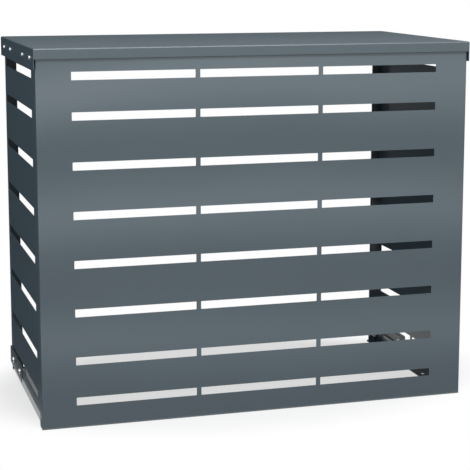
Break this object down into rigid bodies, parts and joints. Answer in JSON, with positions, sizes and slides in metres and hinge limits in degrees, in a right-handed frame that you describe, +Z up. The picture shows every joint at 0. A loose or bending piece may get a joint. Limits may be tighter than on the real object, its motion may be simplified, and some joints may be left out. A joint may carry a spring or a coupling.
{
  "type": "air conditioner screen",
  "caption": "Slotted sheet-metal screen for an air conditioner's outdoor unit, with an open back and base, a lid with turned-down edges and screwed corners.",
  "frame": {"origin": "on the ground under the middle of the lid", "axes": "+X to the right as seen from the front, +Y from the front panel to the open back, +Z up"},
  "size_m": [1.0148, 0.5386, 0.84],
  "materials": {
    "front_powder_coat": "slate grey satin powder coat",
    "side_powder_coat": "slate grey satin powder coat",
    "lid_powder_coat": "slate grey satin powder coat",
    "frame_powder_coat": "slate grey satin powder coat",
    "zinc_plate": "bright zinc plate"
  },
  "bodies": {
    "root": {"bracket_nut_left_1": "zinc_plate", "bracket_nut_left_2": "zinc_plate", "bracket_nut_right_1": "zinc_plate", "bracket_nut_right_2": "zinc_plate", "bracket_screw_left_1": "zinc_plate", "bracket_screw_left_2": "zinc_plate", "bracket_screw_right_1": "zinc_plate", "bracket_screw_right_2": "zinc_plate", "foot_rail_left": "frame_powder_coat", "foot_rail_right": "frame_powder_coat", "front_panel": "front_powder_coat", "lid": "lid_powder_coat", "lid_bush_left_1": "zinc_plate", "lid_bush_left_2": "zinc_plate", "lid_bush_left_3": "zinc_plate", "lid_bush_left_4": "zinc_plate", "lid_bush_right_1": "zinc_plate", "lid_bush_right_2": "zinc_plate", "lid_bush_right_3": "zinc_plate", "lid_bush_right_4": "zinc_plate", "lid_screw_left_1": "zinc_plate", "lid_screw_left_2": "zinc_plate", "lid_screw_left_3": "zinc_plate", "lid_screw_left_4": "zinc_plate", "lid_screw_right_1": "zinc_plate", "lid_screw_right_2": "zinc_plate", "lid_screw_right_3": "zinc_plate", "lid_screw_right_4": "zinc_plate", "lip_nut_left_1": "zinc_plate", "lip_nut_left_2": "zinc_plate", "lip_nut_left_3": "zinc_plate", "lip_nut_right_1": "zinc_plate", "lip_nut_right_2": "zinc_plate", "lip_nut_right_3": "zinc_plate", "lip_screw_left_1": "zinc_plate", "lip_screw_left_2": "zinc_plate", "lip_screw_left_3": "zinc_plate", "lip_screw_right_1": "zinc_plate", "lip_screw_right_2": "zinc_plate", "lip_screw_right_3": "zinc_plate", "rail_nut_left_front": "zinc_plate", "rail_nut_left_rear": "zinc_plate", "rail_nut_right_front": "zinc_plate", "rail_nut_right_rear": "zinc_plate", "rail_screw_left_front": "zinc_plate", "rail_screw_left_rear": "zinc_plate", "rail_screw_right_front": "zinc_plate", "rail_screw_right_rear": "zinc_plate", "rear_bracket_left": "frame_powder_coat", "rear_bracket_right": "frame_powder_coat", "side_panel_left": "side_powder_coat", "side_panel_right": "side_powder_coat"}
  },
  "joints": []
}
